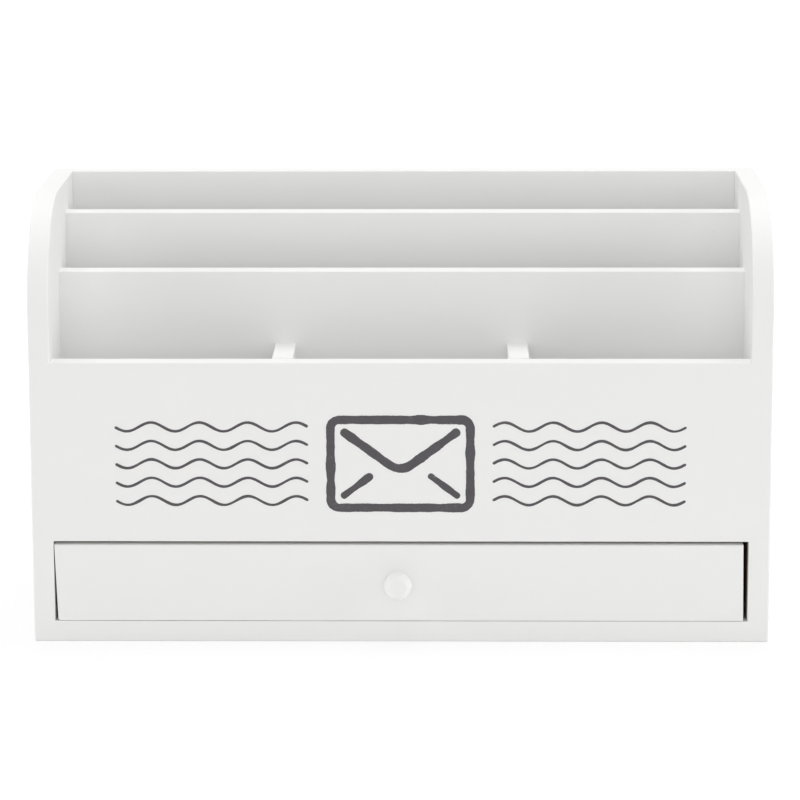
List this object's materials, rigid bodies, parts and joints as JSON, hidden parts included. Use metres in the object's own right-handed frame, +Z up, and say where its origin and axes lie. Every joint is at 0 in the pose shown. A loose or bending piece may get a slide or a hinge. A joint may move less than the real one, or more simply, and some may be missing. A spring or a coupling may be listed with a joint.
{
  "type": "envelope sorter with drawer",
  "caption": "Desktop letter rack of painted board: rounded sides, a divided front pocket, two letter slots rising to the back, and a shallow drawer with a round knob.",
  "frame": {"origin": "centre of the rack's footprint, on its underside", "axes": "+X to the right seen from the front, +Y towards the back, +Z up; the drawer opens along -Y"},
  "size_m": [0.33, 0.132, 0.198],
  "materials": {
    "painted_board": "satin white paint, rolled on sanded fibreboard",
    "raw_board": "bare fibreboard",
    "painted_knob": "satin white paint on turned wood",
    "steel_pin": "bright wire",
    "steel_screw": "zinc plated"
  },
  "bodies": {
    "carcass": {"left_side": "painted_board", "right_side": "painted_board", "base_board": "painted_board", "front_panel": "painted_board", "letter_deck": "painted_board", "front_divider": "painted_board", "rear_divider": "painted_board", "back_panel": "painted_board", "left_partition": "painted_board", "right_partition": "painted_board", "left_side_pins": "steel_pin", "right_side_pins": "steel_pin", "front_panel_pins": "steel_pin", "back_panel_pins": "steel_pin", "partition_pins": "steel_pin", "deck_pins": "steel_pin"},
    "drawer": {"drawer_front": "painted_board", "drawer_left_side": "painted_board", "drawer_right_side": "painted_board", "drawer_back": "painted_board", "drawer_bottom": "raw_board", "drawer_knob": "painted_knob", "knob_screw": "steel_screw", "drawer_front_pins": "steel_pin", "drawer_side_pins": "steel_pin", "drawer_bottom_pins": "steel_pin"}
  },
  "joints": [
    {"name": "drawer_slide", "type": "slide", "parent": "carcass", "child": "drawer", "axis": [0, -1, 0], "range_m": [0, 0.08]}
  ]
}
